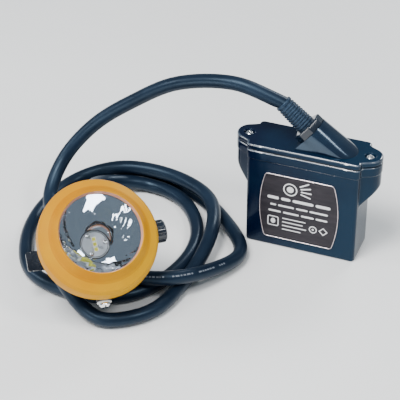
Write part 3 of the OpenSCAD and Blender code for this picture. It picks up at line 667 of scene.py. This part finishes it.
foot = [(FOOT_X + FOOT_R * math.cos(a), FOOT_R * math.sin(a)) for a in ROUND_TURN]
barrel = hull_piece("outlet_fairing", mouth_ring(BARREL_R, MOUTH_LIFT) + mouth_ring(BARREL_R, MOUTH_OVER)
                    + standing(foot))
boolean(barrel, hull_piece("wedge", mouth_ring(WEDGE_R, MOUTH_LIFT) + standing(WEDGE_BASE)), "UNION")
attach(barrel, "lamp")
mod = barrel.modifiers.new("remesh", "REMESH")
mod.mode = "VOXEL"
mod.voxel_size = VOXEL * MM
mod.adaptivity = 0.0
apply(barrel)
mod = barrel.modifiers.new("smooth", "SMOOTH")
mod.factor = 0.6
mod.iterations = BLEND_STEPS
apply(barrel)
bm = bmesh.new()
bm.from_mesh(barrel.data)
cuts = ((OUTLET_MOUTH * MM, OUTLET_DIR), (Vector((0, 0, OUTLET_CUT)) * MM, Vector((0, 0, -1))))
for co, no in cuts:
    geom = bm.verts[:] + bm.edges[:] + bm.faces[:]
    cut = bmesh.ops.bisect_plane(bm, geom=geom, plane_co=co, plane_no=no, clear_outer=True)
    edges = [e for e in cut["geom_cut"] if isinstance(e, bmesh.types.BMEdge)]
    bmesh.ops.contextual_create(bm, geom=edges)
bm.to_mesh(barrel.data)
bm.free()
shade(barrel, 60)
paint(barrel, M_OUTLET)
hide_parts("battery_lid")


def octagon(r_flat, r_corner, a, turn=0.0):
    """Radius of a blunt-cornered octagon in direction a, turned by turn."""
    step = math.pi / 4
    b = (a + turn) % step - step / 2
    return min(r_flat / math.cos(b), r_corner)


NUT_R = 9.6
NUT_FLAT, NUT_CORNER = 9.55, 10.25
RIBS = 9


def gland(prefix, matrix, nut_node, relief_node, turn=0.0):
    """Faceted nut and ribbed sleeve along the matrix's Z. Returns the sleeve."""
    prof = rounded_profile([(4.62, 0, 0), (NUT_R, 0.02, 0.3), (NUT_R, NUT_H, 1.1), (6.6, NUT_H + 0.05, 0.5),
                            (6.2, NUT_H - 0.5, 0.2), (4.62, NUT_H - 0.5, 0)], 5)

    def facets(a, i, r, z):
        """Turn the nut's outside into an octagon and leave its bore round."""
        share = max(0.0, min(1.0, (r - 7.0) / 2.2))
        return share * (octagon(NUT_FLAT, NUT_CORNER, a, turn) - NUT_R)

    nut = lathe(prefix + "nut", prof, matrix=matrix, seg=192, sharp=60, wobble=facets)
    paint(nut, M_NUT)
    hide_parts(nut_node)
    pitch = (RELIEF - 3.4) / RIBS
    prof = [(4.6, NUT_H - 0.45), (5.9, NUT_H - 0.4)]
    # each rib: two points of the groove, its lower edge, its upper edge, and the groove again
    for i in range(RIBS):
        z = NUT_H + 0.7 + i * pitch
        base = 5.7 - 0.75 * i / RIBS
        prof += [(base, z), (base + 0.05, z + 0.12), (base + 0.50, z + 0.26), (base + 0.60, z + 0.42),
                 (base + 0.58, z + pitch - 0.62), (base + 0.48, z + pitch - 0.46),
                 (base + 0.04, z + pitch - 0.33)]
    z = NUT_H + RELIEF
    prof += [(4.98, z - 2.4), (5.0, z - 2.2), (5.42, z - 2.0), (5.52, z - 1.8), (5.52, z - 0.6),
             (5.4, z - 0.2), (5.1, z), (4.52, z)]
    sleeve = lathe(prefix + "sleeve", prof, matrix=matrix, seg=72, sharp=50)
    paint(sleeve, M_SLEEVE)
    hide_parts(relief_node)
    return sleeve


sleeve = gland("battery_", AT_OUTLET, "gland_nut", "strain_relief", turn=math.radians(10))
head_sleeve = gland("head_", AT_HEAD_GLAND, "head_gland_nut", "head_strain_relief")

# ---------------------------------------------------------------- name plate
PLATE_C, PLATE_Y = (-1.0, 30.5), -13.25    # middle in X and Z, and the case's front face
PLATE_THICK = 0.60
PRINT_DEPTHS = (0.05, -0.07)               # from under the plate's face to just above it


def plate_ring(grow, y):
    """Barrel-sided outline with round corners, grown by grow, at depth y."""
    half_w, half_h, bulge, corner = 22.3, 24.0, 3.6, 2.6
    side_r = (half_h ** 2 + bulge ** 2) / (2 * bulge)
    side_x = half_w + bulge - side_r
    cz = half_h - corner
    cx = side_x + math.sqrt((side_r - corner) ** 2 - cz ** 2)
    tip = math.atan2(cz, cx - side_x)
    right = [(cx + (corner + grow) * math.cos(a), cz + (corner + grow) * math.sin(a))
             for a in np.linspace(math.pi / 2, tip, 12)]
    right += [(side_x + (side_r + grow) * math.cos(a), (side_r + grow) * math.sin(a))
              for a in np.linspace(tip, 0, 14)[1:]]
    right += [(x, -z) for x, z in reversed(right[:-1])]
    loop = right + [(-x, z) for x, z in reversed(right)]
    return [(PLATE_C[0] + x, y, PLATE_C[1] + z) for x, z in loop]


def plate_piece(name, profile, mat, cap=(False, False)):
    """Piece round the plate's outline from a profile of (growth, height above the case)."""
    ob = loft(name, [plate_ring(g, PLATE_Y - h) for g, h in profile], cap=cap, sharp=45)
    paint(ob, mat)
    return ob


rim = plate_piece("plate_rim", [(-0.62, 0), (-0.62, 0.55), (-0.57, 0.76), (-0.45, 0.88), (-0.27, 0.90),
                                (-0.11, 0.78), (-0.03, 0.55), (0.0, 0)], M_RIM)
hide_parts("plate_border")
face = plate_piece("plate_sheet", [(-0.64, 0), (-0.64, 0.52), (-0.74, PLATE_THICK), (-1.2, PLATE_THICK)],
                   M_PLATE, cap=(True, True))
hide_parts("name_plate")


def mark(name, outline, hole=None):
    """Flat raised mark on the plate from an outline in plate coordinates (x right, z up)."""
    n = len(outline)
    verts, faces = [], []
    for loop in [outline] if hole is None else [outline, hole]:
        for depth in PRINT_DEPTHS:
            verts += [(PLATE_C[0] + x, PLATE_Y - PLATE_THICK + depth, PLATE_C[1] + z) for x, z in loop]
    for k in range(n):
        m = (k + 1) % n
        faces.append((k, m, n + m, n + k))
        if hole is not None:
            faces.append((2 * n + k, 3 * n + k, 3 * n + m, 2 * n + m))
            faces.append((n + k, n + m, 3 * n + m, 3 * n + k))
            faces.append((k, 2 * n + k, 2 * n + m, m))
    if hole is None:
        faces += [tuple(range(n, 2 * n)), tuple(reversed(range(n)))]
    ob = link(name, verts, faces, sharp=30)
    paint(ob, M_PRINT)


def pill(cx, cz, w, h):
    """Bar with round ends."""
    r = h / 2 * 0.98
    return [(x + r * math.cos(a), cz + r * math.sin(a))
            for x, start in ((cx + w / 2 - r, math.pi / 2), (cx - w / 2 + r, -math.pi / 2))
            for a in np.linspace(start, start - math.pi, 6)]


def ring_loop(cx, cz, rx, rz, n=40):
    """Ellipse of n points."""
    return [(cx + rx * math.cos(2 * math.pi * k / n), cz + rz * math.sin(2 * math.pi * k / n))
            for k in range(n)]


def tile_loop(cx, cz, half, corner):
    """Square outline with round corners."""
    inset = half - corner
    return [(cx + sx * inset + corner * math.cos(a), cz + sz * inset + corner * math.sin(a))
            for sx, sz, start in ((1, 1, 0), (-1, 1, 90), (-1, -1, 180), (1, -1, 270))
            for a in np.radians([start, start + 30, start + 60, start + 90])]


# generic picture of a round lamp with rays, then plain bars and pictures in place of lettering
LAMP_X, LAMP_Z = -5.8, 14.6
mark("mark_lamp_outer", ring_loop(LAMP_X, LAMP_Z, 4.6, 4.6), ring_loop(LAMP_X, LAMP_Z, 3.8, 3.8))
mark("mark_lamp_inner", ring_loop(LAMP_X, LAMP_Z, 2.2, 2.2))
for k, turn in enumerate((30, 15, 0, -15)):
    c, s = math.cos(math.radians(turn)), math.sin(math.radians(turn))
    bar = [(LAMP_X + c * x - s * z, LAMP_Z + s * x + c * z) for x, z in pill(10.4, 0, 7.0, 0.95)]
    mark("mark_ray.%d" % k, bar)
# each row of bars: height of its middle, height of the bars, and where they start and end
rows = [(6.6, 2.1, (-20.5, -13.0, -11.6, -5.4, -4.0, 9.6, 11.0, 20.6)),
        (1.3, 1.35, (-18.6, -14.6, -13.4, -3.0, -1.6, 6.0, 7.2, 19.2)),
        (-3.4, 1.35, (-19.6, -11.4, -10.0, 0.4, 1.8, 10.2, 11.4, 19.0))]
for r, (z, h, ends) in enumerate(rows):
    for k in range(0, len(ends), 2):
        mark("mark_bar.%d.%d" % (r, k // 2), pill((ends[k] + ends[k + 1]) / 2, z, ends[k + 1] - ends[k], h))
TILE_X, TILE_Z = -16.4, -11.2
mark("mark_tile", tile_loop(TILE_X, TILE_Z, 3.7, 1.2), tile_loop(TILE_X, TILE_Z, 3.05, 0.8))
mark("mark_drop", ring_loop(TILE_X, TILE_Z, 1.5, 1.9, 24))
for k, w in enumerate((15.4, 13.6, 16.0, 12.4)):
    mark("mark_line.%d" % k, pill(-10.4 + w / 2, -7.9 - 2.75 * k, w, 0.75))
RING_X, DIAMOND_X, LOW_Z = 9.9, 16.6, -11.8
mark("mark_ring", ring_loop(RING_X, LOW_Z, 2.6, 2.6), ring_loop(RING_X, LOW_Z, 1.95, 1.95))
mark("mark_ring_dot", ring_loop(RING_X, LOW_Z, 0.75, 0.75, 20))
mark("mark_diamond", ring_loop(DIAMOND_X, LOW_Z, 3.0, 3.0, 4), ring_loop(DIAMOND_X, LOW_Z, 2.1, 2.1, 4))

# ---------------------------------------------------------------- headpiece
LIP_R, LIP_LOW = 24.9, -2.7       # the bezel's lip lies within this radius and above this height
CONE_IN, CONE_OUT = 25.2, 29.6    # radii of the cone inside the bezel, whose darker orange is painted shade
BOWL_RIM, BOWL_LOW = -6.95, -26.3
BOWL_FOCAL, BOWL_VERTEX = 7.05, -29.1    # the mirror is a parabola
RIPPLE_IN, RIPPLE_OUT = 12.5, 24.9       # radii between which it ripples
SHADE_RING_Z = -26.36                # height of the dark rings round the light board, which stand for painted shade in the gap at the mirror's hole
bezel = lathe("bezel", rounded_profile([
    (24.0, -2.6, 0), (24.05, -2.2, 0.2), (24.85, -0.35, 0.3), (25.15, -0.02, 0.25), (25.6, -0.2, 0.4),
    (28.9, -4.5, 0.8), (30.2, -5.5, 1.2), (34.4, -7.8, 1.6), (35.7, -10.2, 1.3), (36.0, -13.5, 3),
    (35.9, -19.0, 0.5), (35.3, -19.6, 0.3), (33.5, -19.6, 0)], 6), seg=240, sharp=45)
paint(bezel, M_BEZEL)
bezel.data.materials.append(M_LIP)
# the inner cone's faces take the darker orange of painted shade
bezel.data.materials.append(M_CONE_SHADE)
to_head = HEAD.inverted()
for f in bezel.data.polygons:
    c = to_head @ (f.center / MM)
    r = math.hypot(c.x, c.y)
    if r < LIP_R and c.z > LIP_LOW:
        f.material_index = 1
    elif CONE_IN < r < CONE_OUT:
        f.material_index = 2
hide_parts("bezel_ring")


def ripple(a, i, r, z):
    """Waves in the mirror, with steeper ones in two sectors for the streaks at left and right."""
    if r > RIPPLE_OUT:
        return 0
    fade = min(1.0, (RIPPLE_OUT - r) / 2) * max(0.0, min(1.0, (r - RIPPLE_IN) / 5))
    streaks = max(0, math.cos(a - math.radians(165))) ** 3 + max(0, math.cos(a + math.radians(8))) ** 3
    return fade * (0.05 * math.sin(5 * a + 0.25 * z) + 0.035 * math.sin(8 * a - 0.4 * z + 1)
                   + 0.030 * math.sin(17 * a + 0.8 * z + 2)
                   + streaks * (0.24 * math.sin(11 * a + 0.45 * z) + 0.09 * math.sin(25 * a - 0.7 * z + 1)))


bowl = []
for z in np.linspace(BOWL_RIM, BOWL_LOW, 45):
    bowl.append((math.sqrt(4 * BOWL_FOCAL * (z - BOWL_VERTEX)), float(z)))
mirror = lathe("mirror_bowl", [(27.4, -7.9), (27.4, -6.98), (25.3, BOWL_RIM)] + bowl
               + [(8.75, -26.42), (8.8, -26.49)], seg=288, sharp=30, wobble=ripple)
paint(mirror, M_MIRROR)
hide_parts("reflector")


def tile(name, y, z_low, z_top, half, corner, top, mat):
    """Square tile at y across the light board, with round corners and a top that domes up by top."""
    levels = [(half, z_low), (half, z_top - top)]
    levels += [(half * (1 - 0.75 * u ** 2), z_top - top + top * u) for u in (0.25, 0.5, 0.75, 1.0)]
    rings = [[(a, b, z) for a, b in tile_loop(0, y, h, corner * h / half)] for h, z in levels]
    ob = loft(name, rings, matrix=HEAD, sharp=50)
    paint(ob, mat)
    return ob


for k, y in enumerate((-3.2, 0.0, 3.2)):
    tile("led_package.%d" % k, y, z_low=-26.5, z_top=-25.95, half=1.45, corner=0.25, top=0.08,
         mat=M_WHITE)
    phosphor = tile("led_phosphor.%d" % k, y, z_low=-26.0, z_top=-25.35, half=1.05, corner=0.45, top=0.5,
                    mat=M_LED)
    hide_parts("leds")
# dark rubber rings round the light board: painted shade in the gap between the mirror's hole and the board
for k, (r, thick) in enumerate(((7.9, 0.20), (8.85, 0.36))):
    ring = ring_loop(r, SHADE_RING_Z, thick, thick, 12)
    shade_ring = lathe("board_shade_ring.%d" % k, ring, seg=120, closed=True, sharp=80)
    paint(shade_ring, M_RUBBER)
lens = lathe("lens_disc", [(0, -5.3), (25.3, -5.3), (25.6, -5.0), (25.6, -3.0), (25.3, -2.7), (0, -2.7)],
             sharp=30)
paint(lens, M_LENS)
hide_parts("lens")

# ---------------------------------------------------------------- floor and light
bpy.ops.mesh.primitive_plane_add(size=6)
floor = bpy.context.object
floor.name = "floor"
floor.location.z = -0.0002
paint(floor, material("floor", (0.90, 0.90, 0.89), 0.55, vary=0.02, scale=3, bump=0.02, bump_scale=300))


def area_light(name, where, target, size, power, size_y=None):
    """Rectangular white light aimed at the target, in metres and watts."""
    data = bpy.data.lights.new(name, "AREA")
    data.energy = power
    data.shape = "RECTANGLE"
    data.size = size
    data.size_y = size_y or size
    ob = bpy.data.objects.new(name, data)
    bpy.context.scene.collection.objects.link(ob)
    ob.location = where
    ob.rotation_euler = (Vector(target) - Vector(where)).to_track_quat("-Z", "Y").to_euler()


area_light("key", (-0.15, -0.42, 1.12), (-0.06, -0.03, 0.03), 0.30, 7.5)
area_light("left", (-0.95, -0.35, 0.60), (-0.08, -0.05, 0.04), 0.30, 3.0)
area_light("barrel", (0.64, -0.30, 1.00), (0.01, 0, 0.08), 0.24, 4.5)
area_light("front", (-0.53, -1.15, 0.20), (0, 0, 0.08), 0.40, 4.0, size_y=0.34)
area_light("back", (0.20, 0.95, 0.75), (-0.05, 0, 0.05), 0.5, 6.0, size_y=0.25)
area_light("strip", (-0.30, -0.62, 1.05), (-0.02, -0.03, 0.05), 0.7, 11.0, size_y=0.24)
world = bpy.data.worlds.new("studio")
bpy.context.scene.world = world
world.use_nodes = True
bg = world.node_tree.nodes["Background"]
bg.inputs["Color"].default_value = (0.60, 0.71, 0.80, 1)
bg.inputs["Strength"].default_value = 0.45
